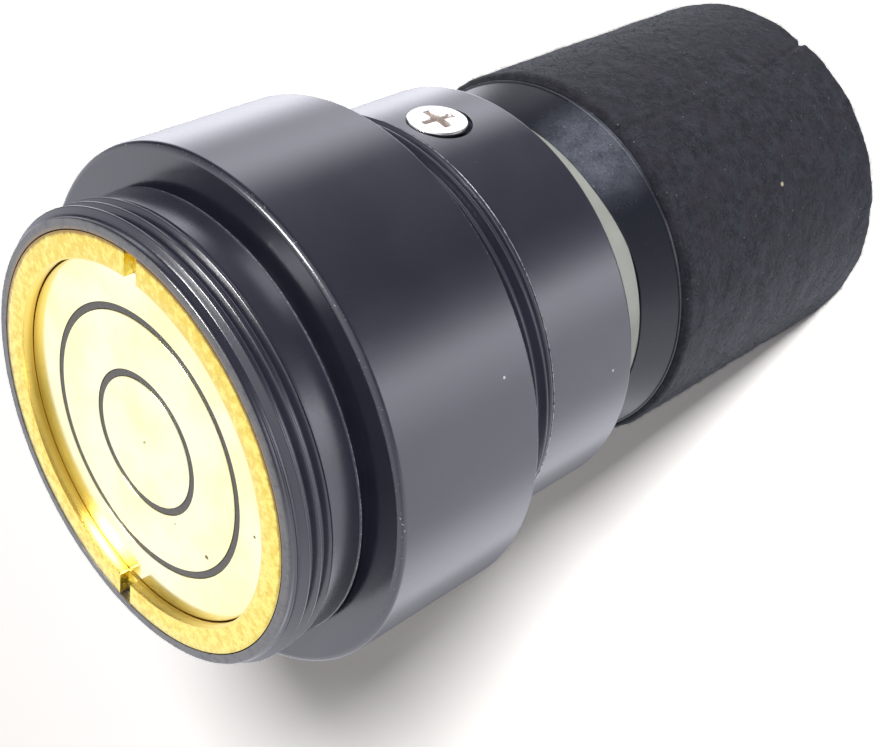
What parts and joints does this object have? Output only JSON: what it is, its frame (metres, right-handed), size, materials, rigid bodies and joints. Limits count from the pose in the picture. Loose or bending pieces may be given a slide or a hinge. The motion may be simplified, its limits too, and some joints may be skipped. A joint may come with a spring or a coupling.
{
  "type": "dynamic microphone capsule",
  "caption": "Screw-on dynamic microphone capsule with concentric contacts, a threaded collar, a rubber shock mount and a felt-wrapped cartridge.",
  "frame": {"origin": "centre of the front cap's rim at the sound inlet, on the surface the capsule stands on", "axes": "+Z along the capsule's axis towards the contact end, +X towards the neck screw"},
  "size_m": [0.0364, 0.0364, 0.0636],
  "materials": {
    "satin_black": "satin black, very fine grain",
    "brass": "turned brass, lightly tarnished",
    "gold_plate": "pale gold plate, polished",
    "board": "dark grey brown insulator",
    "bright_screw": "bright plated steel",
    "pale_rubber": "pale grey green, matte",
    "cup_plastic": "black plastic, slightly glossy",
    "felt": "black felt with a short nap",
    "gauze": "fine dark gauze",
    "motor_steel": "plated steel",
    "film": "thin clear film",
    "copper_coil": "enamelled copper wire",
    "damping_felt": "grey felt"
  },
  "bodies": {
    "root": {"body_ring": "satin_black", "retaining_ring": "brass", "contact_board": "board", "centre_pad": "gold_plate", "middle_pad": "gold_plate", "outer_pad": "gold_plate", "contact_pins": "brass", "neck_sleeve": "satin_black", "neck_screw": "bright_screw", "shock_mount": "pale_rubber", "rear_cup": "cup_plastic", "housing": "cup_plastic", "felt_sleeve": "felt", "front_cap": "cup_plastic", "front_gauze": "gauze", "clamp_ring": "motor_steel", "diaphragm": "film", "voice_coil": "copper_coil", "pole_piece": "motor_steel", "magnet": "motor_steel", "yoke": "motor_steel", "damping_disc": "damping_felt", "terminal_board": "board", "terminal_tabs": "bright_screw"}
  },
  "joints": []
}
